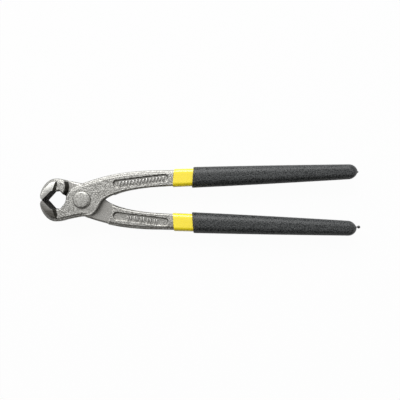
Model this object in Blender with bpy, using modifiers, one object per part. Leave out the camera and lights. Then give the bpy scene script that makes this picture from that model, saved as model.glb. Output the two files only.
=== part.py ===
"""Concreters' nippers: two forged levers on one rivet, their handles dipped twice.

Metres, +Z up. The pivot runs along +Z through the origin, the jaws point to -X and the
handles to +X. The origin lies on the flat face of the rear rivet head, and the tool is
shown closed, lying flat. The rear lever is the front lever turned half round about X.
"""

import math

import bmesh
import bpy
from mathutils import Matrix, Vector
from mathutils.geometry import interpolate_bezier

# Joint: each lever is cut to half its thickness where it lies in the other
JOINT_THICKNESS = 0.0120
JOINT_FLAT_BACK = 0.0080
JOINT_FLAT_FRONT = 0.0140
LAP_GAP = 0.0003
SEAT_TO_HANDLE = 0.0213
SEAT_SIDE_BOW = 0.0500
SEAT_WALL_DRAFT = math.radians(20)

# Rivet
RIVET_HEAD_DIAMETER = 0.0122
RIVET_HEAD_RISE = 0.0020
RIVET_HEAD_EDGE = 0.0005
RIVET_SHANK_DIAMETER = 0.0076
RUNNING_GAP = 0.0003

# Jaws: a ground block on the end of each forging
JAW_REACH = 0.0269
JAW_WIDTH = 0.0160
EDGE_GAP = 0.0003
NOSE_LEAD = 0.0018
NOSE_DROP = 0.0030
NOSE_BEVEL_LENGTH = 0.0011
NOSE_BEVEL_DROP = 0.0010
BITE_ANGLE = math.radians(46.5)
THROAT_DEPTH = 0.0061
HEAD_HALF_HEIGHT = 0.0152
HEAD_CREST_BACK = 0.0185
JAW_BLOCK_END = 0.0190
JAW_BLOCK_INSET = 0.0001
JAW_ROOT_END = 0.0135
JAW_ROOT_INSET = 0.0010
JAW_WALL_FOOT = 0.0184
JAW_WALL_LEAN = math.radians(37)
JAW_SIDE_FALL = math.radians(11)
JAW_EDGE_ROUNDING = 0.0020
NOSE_EDGE_ROUNDING = 0.0002
JAW_ROUNDING_START = 0.0090
NECK_THICKNESS = 0.0096
NECK_BACK = 0.0170
NECK_RUN_IN = 0.0055
JAW_ROOT_RADIUS = 0.0100
JAW_ROOT_BACK = 0.0200
JAW_ROOT_DROP = 0.0095

# Shoulders round the pivot
WAIST_HALF_WIDTH = 0.0117
JAW_BACK_X = 0.0095
JAW_BACK_RISE = 0.0018
SHOULDER_RADIUS = 0.0109
SHOULDER_CENTRE_BACK = 0.0008
SHOULDER_CENTRE_DROP = 0.0005
SHOULDER_START = math.radians(118)
SHOULDER_END = math.radians(182)
THROAT_CORNER_BACK = 0.0050
THROAT_SLOPE_RISE = 0.0017
THROAT_SLOPE_LENGTH = 0.0018
CROTCH_X = 0.0152
CROTCH_SHOULDER_RADIUS = 0.0128
CROTCH_SHOULDER_START = math.radians(-62)
CROTCH_SHOULDER_END = math.radians(-20)

# Arm from the joint to the handle
ARM_START_X = 0.0120
ARM_START_OUTER = 0.0156
ELBOW_X = 0.0255
ELBOW_OUTER = 0.0187
ELBOW_INNER = 0.0049
ARCH_X = 0.0430
ARCH_OUTER = 0.0206
ARCH_INNER = 0.0084
FORGED_EDGE = 0.0020

# Handle
HANDLE_START_X = 0.0615
HANDLE_START_Y = 0.01545
HANDLE_SPLAY = math.radians(2.05)
HANDLE_START_WIDTH = 0.0113
HANDLE_END_WIDTH = 0.0068
HANDLE_SWELL = 0.0005
HANDLE_REACH = 0.1916
HANDLE_START_THICKNESS = 0.0086
HANDLE_END_THICKNESS = 0.0066

# Panel sunk into both faces of each arm
PANEL_X = 0.0411
PANEL_Y = 0.01335
PANEL_LENGTH = 0.0374
PANEL_HEIGHT = 0.0052
PANEL_CORNER = 0.0020
PANEL_TILT = math.radians(7.2)
PANEL_DEPTH = 0.0007
PANEL_WALL_DRAFT = math.radians(35)

# Dip coats
COAT_GAP = 0.0003
UNDERCOAT_WALL = 0.0004
GRIP_WALL = 0.0009
UNDERCOAT_START_X = 0.0621
GRIP_START_X = 0.0774
DIP_LINE_TILT = math.radians(4.5)

# Drips that set on the ends of the grips
DRIP_TIP_LENGTH = 0.0014
DRIP_TIP_RADIUS = 0.0012
DRIP_TIP_POINT_RADIUS = 0.0003
DRIP_TIP_INBOARD = 0.0003
DRIP_NECK_LENGTH = 0.0024
DRIP_NECK_ROOT_RADIUS = 0.0010
DRIP_NECK_RADIUS = 0.0005
DRIP_BALL_RADIUS = 0.0008
DRIP_BALL_INBOARD = 0.0010

# Smoothness of the curved surfaces
SPLINE_STEPS = 4
ARC_STEP = math.radians(20)
ROUNDING_STEPS = 3
TURN_STEPS = 40
DRIP_STEPS = 12
HANDLE_STATIONS = 5
SMOOTH_ANGLE = math.radians(35)
SLIVER_WIDTH = 0.000002

MID_Z = JOINT_THICKNESS / 2 + RIVET_HEAD_RISE
QUARTER_TURN = math.radians(90)
OBJECT_NAME = "concreters_nippers"
CUT_BEYOND = 0.0050


def clear_scene():
    """Remove every object of the opened scene."""
    for scene_object in list(bpy.data.objects):
        bpy.data.objects.remove(scene_object, do_unlink=True)


def new_collection(name):
    """A collection linked to the scene."""
    collection = bpy.data.collections.new(name)
    bpy.context.scene.collection.children.link(collection)
    return collection


def principled(name, color, roughness, metallic):
    """A material with one Principled BSDF."""
    material = bpy.data.materials.new(name)
    material.use_nodes = True
    shader = material.node_tree.nodes["Principled BSDF"]
    shader.inputs["Base Color"].default_value = (*color, 1.0)
    shader.inputs["Roughness"].default_value = roughness
    shader.inputs["Metallic"].default_value = metallic
    return material


def unit_turn(angle):
    """The unit vector at an angle from +X."""
    return Vector((math.cos(angle), math.sin(angle)))


def arc(centre, radii, start, end):
    """Points on an arc of a circle or an upright ellipse, both ends included."""
    steps = max(2, math.ceil(abs(end - start) / ARC_STEP))
    turns = [unit_turn(start + (end - start) * i / steps) for i in range(steps + 1)]
    return [Vector((centre.x + radii[0] * turn.x, centre.y + radii[1] * turn.y)) for turn in turns]


def bend_direction(before, here, after):
    """The direction in which a smooth run passes a point."""
    leaving = (after - here).normalized()
    arriving = (here - before).normalized()
    return (leaving + arriving).normalized()


def smooth_run(points):
    """A smooth curve through the points, without the last one."""
    run = []
    last = len(points) - 1
    for i in range(last):
        start, end = points[i], points[i + 1]
        third = (end - start).length / 3
        straight = (end - start).normalized()
        leaving = bend_direction(points[i - 1], start, end) if i > 0 else straight
        arriving = bend_direction(start, end, points[i + 2]) if i + 1 < last else straight
        leg = interpolate_bezier(start, start + leaving * third, end - arriving * third, end, SPLINE_STEPS + 1)
        run.extend(Vector(point[:2]) for point in leg[:-1])
    return run


def inward_normals(outline):
    """The mitred inward normal at each point of an outline that runs anticlockwise."""
    normals = []
    for i, here in enumerate(outline):
        arriving = (here - outline[i - 1]).normalized()
        leaving = (outline[(i + 1) % len(outline)] - here).normalized()
        first = Vector((-arriving.y, arriving.x))
        second = Vector((-leaving.y, leaving.x))
        normals.append((first + second) / (1 + first.dot(second)))
    return normals


def grown(outline, distance):
    """The outline moved outwards by a distance."""
    return [point - normal * distance for point, normal in zip(outline, inward_normals(outline))]


def split_wide_faces(body):
    """Cut the faces with more than four corners into triangles."""
    body.normal_update()
    bmesh.ops.triangulate(body, faces=[face for face in body.faces if len(face.verts) > 4])


def body_to_object(name, body, collection):
    """Keep a bmesh as an object, its wide faces cut into triangles."""
    split_wide_faces(body)
    bmesh.ops.recalc_face_normals(body, faces=body.faces)
    mesh = bpy.data.meshes.new(name)
    body.to_mesh(mesh)
    body.free()
    made = bpy.data.objects.new(name, mesh)
    collection.objects.link(made)
    return made


def stacked_rings(name, rings, collection):
    """A closed solid through rings of equal length, its two end rings filled."""
    body = bmesh.new()
    loops = [[body.verts.new(point) for point in ring] for ring in rings]
    count = len(loops[0])
    for lower, upper in zip(loops, loops[1:]):
        for i in range(count):
            j = (i + 1) % count
            body.faces.new((lower[i], lower[j], upper[j], upper[i]))
    body.faces.new(list(reversed(loops[0])))
    body.faces.new(loops[-1])
    return body_to_object(name, body, collection)


def rounded_slab(name, outline, half_height, rounding, collection):
    """A slab across the mid-plane with its long edges rounded.

    half_height and rounding are functions of a point of the outline.
    """
    normals = inward_normals(outline)
    rings = []
    levels = [QUARTER_TURN * k / ROUNDING_STEPS for k in range(ROUNDING_STEPS + 1)]
    for side in (-1, 1):
        for level in levels[::side]:
            ring = []
            for point, normal in zip(outline, normals):
                radius = rounding(point)
                top = half_height(point + normal * radius)
                place = point + normal * radius * (1 - math.cos(level))
                ring.append((*place, side * (top - radius * (1 - math.sin(level)))))
            rings.append(ring)
    return stacked_rings(name, rings, collection)


def as_cutter(cutter):
    """Mark an object as a cutter or a tool that is joined on."""
    cutter.hide_render = True
    cutter.display_type = "WIRE"
    return cutter


def drop_slivers(target):
    """Remove faces without area, which a cut can leave along a straight edge."""
    body = bmesh.new()
    body.from_mesh(target.data)
    bmesh.ops.dissolve_degenerate(body, edges=body.edges, dist=SLIVER_WIDTH)
    split_wide_faces(body)
    body.to_mesh(target.data)
    body.free()


def combine(target, tool, operation):
    """Join a tool to the target or cut it out, and keep the result in the target's mesh."""
    modifier = target.modifiers.new(tool.name, "BOOLEAN")
    modifier.operation = operation
    modifier.solver = "EXACT"
    modifier.object = tool
    bpy.context.view_layer.update()
    evaluated = target.evaluated_get(bpy.context.evaluated_depsgraph_get())
    result = bpy.data.meshes.new_from_object(evaluated)
    target.modifiers.clear()
    target.data = result
    drop_slivers(target)


def half_thickness(x):
    """Half the forging's thickness at a place along X."""
    stations = (
        (-NECK_BACK, NECK_THICKNESS / 2),
        (-JOINT_FLAT_BACK, JOINT_THICKNESS / 2),
        (JOINT_FLAT_FRONT, JOINT_THICKNESS / 2),
        (HANDLE_START_X, HANDLE_START_THICKNESS / 2),
        (HANDLE_REACH, HANDLE_END_THICKNESS / 2),
    )
    if x <= stations[0][0]:
        return stations[0][1]
    for (start, low), (end, high) in zip(stations, stations[1:]):
        if x <= end:
            return low + (high - low) * (x - start) / (end - start)
    return stations[-1][1]


def taper(slab):
    """Thin a slab of the joint's thickness to the forging's thickness along X."""
    body = bmesh.new()
    body.from_mesh(slab.data)
    for x in (-NECK_BACK, -JOINT_FLAT_BACK, JOINT_FLAT_FRONT, HANDLE_START_X):
        everything = body.verts[:] + body.edges[:] + body.faces[:]
        bmesh.ops.bisect_plane(body, geom=everything, plane_co=(x, 0, 0), plane_no=(1, 0, 0), dist=1e-6)
    for vertex in body.verts:
        drop = JOINT_THICKNESS / 2 - half_thickness(vertex.co.x)
        vertex.co.z -= math.copysign(drop, vertex.co.z)
    split_wide_faces(body)
    body.to_mesh(slab.data)
    body.free()
    drop_slivers(slab)


def handle_end_x():
    """Where the handle's round end starts."""
    return HANDLE_REACH - HANDLE_END_WIDTH / 2


def handle_edge(x, side, offset=0.0):
    """A point on the handle's outer (side 1) or inner (side -1) edge, its centre line (side 0),
    or outside its edges by an offset."""
    share = (x - HANDLE_START_X) / (handle_end_x() - HANDLE_START_X)
    width = HANDLE_START_WIDTH + (HANDLE_END_WIDTH - HANDLE_START_WIDTH) * share
    width += HANDLE_SWELL * 4 * share * (1 - share)
    centre = HANDLE_START_Y + math.tan(HANDLE_SPLAY) * (x - HANDLE_START_X)
    return Vector((x, centre + side * (width / 2 + offset)))


def handle_outline(start_x, offset=0.0):
    """The handle's outline from a start along its inner edge, round the end and back."""
    end_x = handle_end_x()
    stations = [start_x + (end_x - start_x) * i / HANDLE_STATIONS for i in range(HANDLE_STATIONS)]
    inner = [handle_edge(x, -1, offset) for x in stations]
    outer = [handle_edge(x, 1, offset) for x in reversed(stations)]
    radius = HANDLE_END_WIDTH / 2 + offset
    start = HANDLE_SPLAY - QUARTER_TURN
    end = arc(handle_edge(end_x, 0), (radius, radius), start, HANDLE_SPLAY + QUARTER_TURN)
    return inner + end + outer


def forging_outline():
    """The lever's outline, anticlockwise, without the jaw block."""
    pivot = Vector((0, 0))
    outer_arm = [
        handle_edge(HANDLE_START_X, 1),
        Vector((ARCH_X, ARCH_OUTER)),
        Vector((ELBOW_X, ELBOW_OUTER)),
        Vector((ARM_START_X, ARM_START_OUTER)),
        Vector((0, WAIST_HALF_WIDTH)),
    ]
    shoulder_centre = Vector((-SHOULDER_CENTRE_BACK, -SHOULDER_CENTRE_DROP))
    shoulder = arc(shoulder_centre, (SHOULDER_RADIUS, SHOULDER_RADIUS), SHOULDER_START, SHOULDER_END)
    corner_x = -SHOULDER_RADIUS - THROAT_CORNER_BACK
    throat = [
        Vector((corner_x + THROAT_SLOPE_LENGTH, -THROAT_DEPTH + THROAT_SLOPE_RISE)),
        Vector((corner_x, -THROAT_DEPTH)),
    ]
    lobe_centre = Vector((-JAW_BLOCK_END, -(THROAT_DEPTH + HEAD_HALF_HEIGHT) / 2))
    lobe_radii = (NECK_RUN_IN, (HEAD_HALF_HEIGHT - THROAT_DEPTH) / 2 - JAW_BLOCK_INSET)
    lobe = arc(lobe_centre, lobe_radii, QUARTER_TURN + ARC_STEP, 3 * QUARTER_TURN - 2 * ARC_STEP)
    jaw_back = [
        Vector((-HEAD_CREST_BACK, -HEAD_HALF_HEIGHT)),
        Vector((-JAW_BACK_X, -WAIST_HALF_WIDTH - JAW_BACK_RISE)),
        Vector((0, -WAIST_HALF_WIDTH)),
    ]
    crotch_radii = (CROTCH_SHOULDER_RADIUS, CROTCH_SHOULDER_RADIUS)
    crotch_shoulder = arc(pivot, crotch_radii, CROTCH_SHOULDER_START, CROTCH_SHOULDER_END)
    inner_arm = [
        Vector((CROTCH_X, 0)),
        Vector((ELBOW_X, ELBOW_INNER)),
        Vector((ARCH_X, ARCH_INNER)),
        handle_edge(HANDLE_START_X, -1),
    ]
    head = outer_arm + shoulder + throat + lobe + jaw_back + crotch_shoulder + inner_arm
    return smooth_run(head) + handle_outline(HANDLE_START_X)[:-1]


def jaw_outline():
    """The jaw block's outline, anticlockwise: cutting edge, nose, back, buried root and bite."""
    edge = Vector((-JAW_REACH, -EDGE_GAP / 2))
    bevel_end = edge - Vector((NOSE_BEVEL_LENGTH, NOSE_BEVEL_DROP))
    back_centre = Vector((-JAW_BLOCK_END, -NOSE_DROP))
    back_radii = (
        JAW_REACH + NOSE_LEAD - JAW_BLOCK_END,
        HEAD_HALF_HEIGHT - JAW_BLOCK_INSET - NOSE_DROP,
    )
    back = arc(back_centre, back_radii, 2 * QUARTER_TURN, 3 * QUARTER_TURN)
    bite_length = (THROAT_DEPTH - EDGE_GAP / 2) / math.sin(BITE_ANGLE)
    bite_end = edge + bite_length * unit_turn(-BITE_ANGLE)
    root = [
        Vector((-JAW_ROOT_END, -WAIST_HALF_WIDTH - JAW_ROOT_INSET)),
        Vector((-JAW_ROOT_END, -THROAT_DEPTH - JAW_ROOT_INSET)),
        Vector((-JAW_BLOCK_END, -THROAT_DEPTH - JAW_BLOCK_INSET)),
    ]
    return [edge] + smooth_run([bevel_end] + back) + [back[-1]] + root + [bite_end]


def jaw_half_height(point):
    """Half the jaw's width, which falls away from the cutting edge to the back."""
    return JAW_WIDTH / 2 + math.tan(JAW_SIDE_FALL) * point.y


def jaw_rounding(point):
    """The jaw's edges are sharp at the bite and round off towards the back."""
    share = (-point.y - JAW_ROUNDING_START) / (HEAD_HALF_HEIGHT - JAW_ROUNDING_START)
    share = min(max(share, 0.0), 1.0)
    return NOSE_EDGE_ROUNDING + (JAW_EDGE_ROUNDING - NOSE_EDGE_ROUNDING) * share


def make_jaw_block(collection):
    """The jaw block, its rear walls leaning away from the two faces."""
    block = rounded_slab("jaw_block", jaw_outline(), jaw_half_height, jaw_rounding, collection)
    body = bmesh.new()
    body.from_mesh(block.data)
    for side in (1, -1):
        foot = (-JAW_WALL_FOOT, 0, side * NECK_THICKNESS / 2)
        outwards = (math.cos(JAW_WALL_LEAN), 0, side * math.sin(JAW_WALL_LEAN))
        everything = body.verts[:] + body.edges[:] + body.faces[:]
        bmesh.ops.bisect_plane(
            body, geom=everything, plane_co=foot, plane_no=outwards, dist=1e-6, clear_outer=True
        )
        open_edges = [edge for edge in body.edges if edge.is_boundary]
        bmesh.ops.holes_fill(body, edges=open_edges)
    split_wide_faces(body)
    body.to_mesh(block.data)
    body.free()
    return as_cutter(block)


def lap_seat_cutter(collection):
    """What is cut from the lever's rear half so that the other lever lies in it."""
    root = Vector((-JAW_ROOT_BACK, -JAW_ROOT_DROP))
    side = QUARTER_TURN * 2 / 3
    tall = HEAD_HALF_HEIGHT + CUT_BEYOND
    root_arc = arc(root, (JAW_ROOT_RADIUS, JAW_ROOT_RADIUS), side, -side)
    bow_centre = Vector((SEAT_TO_HANDLE - SEAT_SIDE_BOW, 0))
    half_bow = math.asin(tall / SEAT_SIDE_BOW)
    bow = arc(bow_centre, (SEAT_SIDE_BOW, SEAT_SIDE_BOW), -half_bow, half_bow)
    left = root_arc[0].x
    outline = [Vector((left, tall))] + root_arc + [Vector((left, -tall))] + bow
    depth = JOINT_THICKNESS / 2 + CUT_BEYOND
    wide = grown(outline, math.tan(SEAT_WALL_DRAFT) * depth)
    rings = [[(*point, -depth) for point in wide], [(*point, LAP_GAP / 2) for point in outline]]
    return as_cutter(stacked_rings("lap_seat_cutter", rings, collection))


def panel_outline():
    """The panel's outline at the face, about its own middle."""
    outline = []
    for turn, (x_side, y_side) in enumerate(((1, 1), (-1, 1), (-1, -1), (1, -1))):
        x = x_side * (PANEL_LENGTH / 2 - PANEL_CORNER)
        y = y_side * (PANEL_HEIGHT / 2 - PANEL_CORNER)
        start = turn * QUARTER_TURN
        outline += arc(Vector((x, y)), (PANEL_CORNER, PANEL_CORNER), start, start + QUARTER_TURN)
    return outline


def panel_cutter(side, collection):
    """What is sunk into the front (side 1) or rear (side -1) face of the arm."""
    name = "panel_cutter_front" if side > 0 else "panel_cutter_rear"
    spread = math.tan(PANEL_WALL_DRAFT)
    floor = grown(panel_outline(), -PANEL_DEPTH * spread)
    above = grown(panel_outline(), PANEL_DEPTH * spread)
    rings = [[(*point, -PANEL_DEPTH) for point in floor], [(*point, PANEL_DEPTH) for point in above]]
    cutter = stacked_rings(name, rings, collection)
    slope = math.atan2(half_thickness(JOINT_FLAT_FRONT) - half_thickness(HANDLE_START_X),
                       HANDLE_START_X - JOINT_FLAT_FRONT)
    place = Matrix.Translation((PANEL_X, PANEL_Y, half_thickness(PANEL_X)))
    place = place @ Matrix.Rotation(slope, 4, "Y") @ Matrix.Rotation(PANEL_TILT, 4, "Z")
    cutter.data.transform(Matrix.Diagonal((1, 1, side, 1)) @ place)
    if side < 0:
        cutter.data.flip_normals()
    return as_cutter(cutter)


def rivet_hole_cutter(collection):
    """The hole for the rivet's shank."""
    body = bmesh.new()
    radius = RIVET_SHANK_DIAMETER / 2 + RUNNING_GAP
    depth = JOINT_THICKNESS + 2 * CUT_BEYOND
    bmesh.ops.create_cone(
        body, cap_ends=True, segments=TURN_STEPS, radius1=radius, radius2=radius, depth=depth
    )
    return as_cutter(body_to_object("rivet_hole_cutter", body, collection))


def make_lever(parts, cutters):
    """The front lever, its mid-plane at z = 0."""
    lever = rounded_slab(
        "front_lever",
        forging_outline(),
        lambda point: JOINT_THICKNESS / 2,
        lambda point: FORGED_EDGE,
        parts,
    )
    taper(lever)
    combine(lever, make_jaw_block(cutters), "UNION")
    combine(lever, lap_seat_cutter(cutters), "DIFFERENCE")
    combine(lever, rivet_hole_cutter(cutters), "DIFFERENCE")
    for side in (1, -1):
        combine(lever, panel_cutter(side, cutters), "DIFFERENCE")
    return lever


def handle_slab(name, start_x, offset, collection):
    """The handle's own shape, thicker all round by an offset."""
    slab = rounded_slab(
        name,
        handle_outline(start_x, offset),
        lambda point: JOINT_THICKNESS / 2 + offset,
        lambda point: FORGED_EDGE + offset,
        collection,
    )
    taper(slab)
    return slab


def dip_line_cutter(name, x, collection):
    """Everything before a coat's first edge, which lies a little aslant."""
    body = bmesh.new()
    bmesh.ops.create_cube(body, size=1.0)
    size = 2 * (HANDLE_START_WIDTH + JOINT_THICKNESS)
    place = Matrix.Translation(handle_edge(x, 0).to_3d()) @ Matrix.Rotation(-DIP_LINE_TILT, 4, "Z")
    place = place @ Matrix.Translation((-size / 2, 0, 0)) @ Matrix.Diagonal((size, size, size, 1))
    bmesh.ops.transform(body, matrix=place, verts=body.verts)
    return as_cutter(body_to_object(name, body, collection))


def make_coat(name, start_x, inner_offset, outer_offset, parts, cutters):
    """A sleeve round the handle, closed at the handle's end."""
    coat = handle_slab(name, start_x - CUT_BEYOND, outer_offset, parts)
    hollow = handle_slab(f"{name}_hollow", start_x - 2 * CUT_BEYOND, inner_offset, cutters)
    combine(coat, as_cutter(hollow), "DIFFERENCE")
    combine(coat, dip_line_cutter(f"{name}_dip_line", start_x, cutters), "DIFFERENCE")
    return coat


def lying_cone(name, root_radius, end_radius, start_x, end_x, y, collection):
    """A round taper along X."""
    body = bmesh.new()
    bmesh.ops.create_cone(
        body,
        cap_ends=True,
        segments=DRIP_STEPS,
        radius1=root_radius,
        radius2=end_radius,
        depth=end_x - start_x,
    )
    place = Matrix.Translation(((start_x + end_x) / 2, y, 0)) @ Matrix.Rotation(QUARTER_TURN, 4, "Y")
    bmesh.ops.transform(body, matrix=place, verts=body.verts)
    return as_cutter(body_to_object(name, body, collection))


def grip_end(offset):
    """The middle of the grip's round end."""
    return handle_edge(handle_end_x(), 0) + (HANDLE_END_WIDTH / 2 + offset) * unit_turn(HANDLE_SPLAY)


def add_drip_tip(grip, offset, cutters):
    """The short pointed tip on the front grip."""
    end = grip_end(offset)
    y = end.y - DRIP_TIP_INBOARD
    start_x = end.x - GRIP_WALL
    end_x = end.x + DRIP_TIP_LENGTH
    tip = lying_cone("drip_tip", DRIP_TIP_RADIUS, DRIP_TIP_POINT_RADIUS, start_x, end_x, y, cutters)
    combine(grip, tip, "UNION")


def add_drip_ball(grip, offset, cutters):
    """The ball on a thin neck on the rear grip."""
    end = grip_end(offset)
    y = end.y - DRIP_BALL_INBOARD
    end_x = end.x + DRIP_NECK_LENGTH
    start_x = end.x - GRIP_WALL
    neck = lying_cone("drip_neck", DRIP_NECK_ROOT_RADIUS, DRIP_NECK_RADIUS, start_x, end_x, y, cutters)
    combine(grip, neck, "UNION")
    body = bmesh.new()
    bmesh.ops.create_uvsphere(
        body, u_segments=DRIP_STEPS, v_segments=DRIP_STEPS // 2, radius=DRIP_BALL_RADIUS
    )
    place = Matrix.Translation((end_x - DRIP_BALL_RADIUS / 2, y, 0))
    bmesh.ops.transform(body, matrix=place, verts=body.verts)
    combine(grip, as_cutter(body_to_object("drip_ball", body, cutters)), "UNION")


def make_rivet(collection):
    """The rivet: a shank with a flat, round-edged head on each face."""
    head = RIVET_HEAD_DIAMETER / 2
    shank = RIVET_SHANK_DIAMETER / 2
    top = JOINT_THICKNESS / 2 + RIVET_HEAD_RISE
    under = JOINT_THICKNESS / 2 + RUNNING_GAP
    corner = Vector((head - RIVET_HEAD_EDGE, top - RIVET_HEAD_EDGE))
    rounding = arc(corner, (RIVET_HEAD_EDGE, RIVET_HEAD_EDGE), QUARTER_TURN, 0)
    upper = [Vector((0, top))] + rounding + [Vector((head, under)), Vector((shank, under))]
    lower = [Vector((point.x, -point.y)) for point in reversed(upper)]
    profile = upper + lower
    mesh = bpy.data.meshes.new("pivot_rivet")
    edges = [(i, i + 1) for i in range(len(profile) - 1)]
    mesh.from_pydata([(point.x, 0, point.y) for point in profile], edges, [])
    rivet = bpy.data.objects.new("pivot_rivet", mesh)
    collection.objects.link(rivet)
    screw = rivet.modifiers.new("turn", "SCREW")
    screw.axis = "Z"
    screw.steps = TURN_STEPS
    screw.render_steps = TURN_STEPS
    screw.use_merge_vertices = True
    screw.merge_threshold = 0.00001
    return rivet


def place_on_pivot(piece, turned):
    """Put a piece at its height on the pivot axis, the rear ones turned half round about X."""
    piece.location = (0, 0, MID_Z)
    if turned:
        piece.rotation_euler = (2 * QUARTER_TURN, 0, 0)


def finish(piece, material):
    """Give a piece its one material and smooth shading between sharp edges."""
    piece.data.materials.clear()
    piece.data.materials.append(material)
    piece.data.shade_smooth()
    piece.data.set_sharp_from_angle(angle=SMOOTH_ANGLE)


def build():
    """Make and place every piece."""
    clear_scene()
    parts = new_collection(OBJECT_NAME)
    cutters = new_collection("cutters")

    undercoat_outer = COAT_GAP + UNDERCOAT_WALL
    grip_inner = undercoat_outer + COAT_GAP
    grip_outer = grip_inner + GRIP_WALL
    lever = make_lever(parts, cutters)
    undercoat = make_coat("front_undercoat", UNDERCOAT_START_X, COAT_GAP, undercoat_outer, parts, cutters)
    grip = make_coat("front_grip", GRIP_START_X, grip_inner, grip_outer, parts, cutters)

    steel = principled("forged_steel", (0.42, 0.42, 0.40), 0.45, 0.85)
    yellow = principled("yellow_undercoat", (0.90, 0.68, 0.03), 0.35, 0.0)
    black = principled("black_grip", (0.035, 0.040, 0.042), 0.75, 0.0)
    for front, material in ((lever, steel), (undercoat, yellow), (grip, black)):
        rear = bpy.data.objects.new(front.name.replace("front", "rear"), front.data.copy())
        parts.objects.link(rear)
        if front is grip:
            add_drip_tip(front, grip_outer, cutters)
            add_drip_ball(rear, grip_outer, cutters)
        finish(front, material)
        finish(rear, material)
        place_on_pivot(front, turned=False)
        place_on_pivot(rear, turned=True)

    rivet = make_rivet(parts)
    finish(rivet, principled("rivet_steel", (0.46, 0.46, 0.43), 0.38, 0.85))
    place_on_pivot(rivet, turned=False)
    bpy.context.view_layer.update()


build()
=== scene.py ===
"""Concreters' nippers as a maker would dress them: forged levers, ground jaws and dipped handles.

Metres, in the model's own frame: the pivot runs along +Z through the origin, the jaws point
to -X and the handles to +X, and the tool lies flat. The rear half is the front half turned
half round about X, so each class below models the front one and turns a copy for the rear.
"""

import logging
import math
from collections.abc import Callable
from dataclasses import dataclass
from enum import Enum

import bmesh
import bpy
from mathutils import Matrix, Vector
from mathutils.kdtree import KDTree


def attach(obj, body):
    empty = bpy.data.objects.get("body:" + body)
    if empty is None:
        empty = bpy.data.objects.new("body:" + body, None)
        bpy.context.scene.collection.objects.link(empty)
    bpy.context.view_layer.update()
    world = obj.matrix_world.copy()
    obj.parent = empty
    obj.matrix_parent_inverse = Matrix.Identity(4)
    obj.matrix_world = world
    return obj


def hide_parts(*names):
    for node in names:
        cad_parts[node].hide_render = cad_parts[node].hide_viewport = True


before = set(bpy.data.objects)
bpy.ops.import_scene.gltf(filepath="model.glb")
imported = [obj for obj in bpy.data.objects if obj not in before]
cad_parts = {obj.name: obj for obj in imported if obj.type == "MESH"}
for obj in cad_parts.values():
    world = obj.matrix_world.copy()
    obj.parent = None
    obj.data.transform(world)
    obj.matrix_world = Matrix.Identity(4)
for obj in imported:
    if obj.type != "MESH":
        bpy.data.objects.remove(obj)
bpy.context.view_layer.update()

LOG = logging.getLogger("nippers")
MID_Z = 0.0080
QUARTER_TURN = math.radians(90)
# Points nearer than MERGE are one, a HAIR is a step too small to show, and a face looks along
# an axis when its normal has at least FACING of it.
MERGE = 1e-6
HAIR = 0.0001
FACING = 0.9
WHITE = (1.0, 1.0, 1.0)
FLOAT = "NodeSocketFloat"
VECTOR = "NodeSocketVector"

Object = bpy.types.Object
Socket = bpy.types.NodeSocket
Pair = tuple[float, float]
Point = tuple[float, float, float]
Color = tuple[float, float, float]
Section = tuple[float, float, float, float]
Face = bpy.types.MeshPolygon
Modifier = tuple[str, dict[str, object]]


class Half(Enum):
    """The two halves of the tool."""

    FRONT = "front"
    REAR = "rear"

    @property
    def body(self) -> str:
        """The moving body that this half's pieces ride on."""
        return f"{self.value}_half"

    @property
    def place(self) -> Matrix:
        """From the front half's own mid-plane to where this half lies."""
        turn = 0.0 if self is Half.FRONT else 2 * QUARTER_TURN
        return Matrix.Translation((0, 0, MID_Z)) @ Matrix.Rotation(turn, 4, "X")


# Modelling by hand


def activate(piece: Object) -> None:
    """Select one object alone and make it the active one.

    Args:
        piece: the object.
    """
    if bpy.context.object and bpy.context.object.mode != "OBJECT":
        leave_edit()
    bpy.ops.object.select_all(action="DESELECT")
    piece.select_set(True)
    bpy.context.view_layer.objects.active = piece


def name_new(name: str) -> Object:
    """Name the primitive that was just added and bake its place into its mesh.

    Args:
        name: the piece's name.

    Returns:
        The new piece, at the origin, unturned and unscaled.
    """
    piece = bpy.context.object
    piece.name = name
    piece.data.name = name
    activate(piece)
    bpy.ops.object.transform_apply(location=True, rotation=True, scale=True)
    return piece


def link_new(name: str, data: bpy.types.ID) -> Object:
    """Put a new object into the scene.

    Args:
        name: the object's name.
        data: the mesh, lamp or camera that it shows, which gets the same name.

    Returns:
        The object.
    """
    data.name = name
    piece = bpy.data.objects.new(name, data)
    bpy.context.scene.collection.objects.link(piece)
    return piece


def edit(piece: Object, select: str = "DESELECT", mode: str = "FACE") -> None:
    """Open a piece in edit mode.

    Args:
        piece: the piece to shape.
        select: what is selected at first, SELECT for all and DESELECT for nothing.
        mode: which elements are selected, VERT, EDGE or FACE.
    """
    activate(piece)
    bpy.ops.object.mode_set(mode="EDIT")
    bpy.ops.mesh.select_mode(type=mode)
    bpy.ops.mesh.select_all(action=select)


def leave_edit() -> None:
    """Go back to object mode."""
    bpy.ops.object.mode_set(mode="OBJECT")


def select_all() -> None:
    """Select everything of the piece in edit mode."""
    bpy.ops.mesh.select_all(action="SELECT")


def select_where(piece: Object, kind: str, test: Callable[[object], bool]) -> None:
    """Select the elements of a piece in edit mode that pass a test.

    Args:
        piece: the piece in edit mode.
        kind: verts, edges or faces.
        test: takes an element and says whether it is wanted.
    """
    body = bmesh.from_edit_mesh(piece.data)
    for part in getattr(body, kind):
        part.select_set(test(part))
    bmesh.update_edit_mesh(piece.data)


def close_edit() -> None:
    """Turn every face outwards and go back to object mode."""
    select_all()
    bpy.ops.mesh.normals_make_consistent(inside=False)
    leave_edit()


def extrude(step: Point) -> None:
    """Pull the selected faces out by a step."""
    bpy.ops.mesh.extrude_region_move(TRANSFORM_OT_translate={"value": step})


def resize(factors: Point, center: Point) -> None:
    """Scale the selection about a point."""
    bpy.ops.transform.resize(value=factors, center_override=center)


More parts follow.
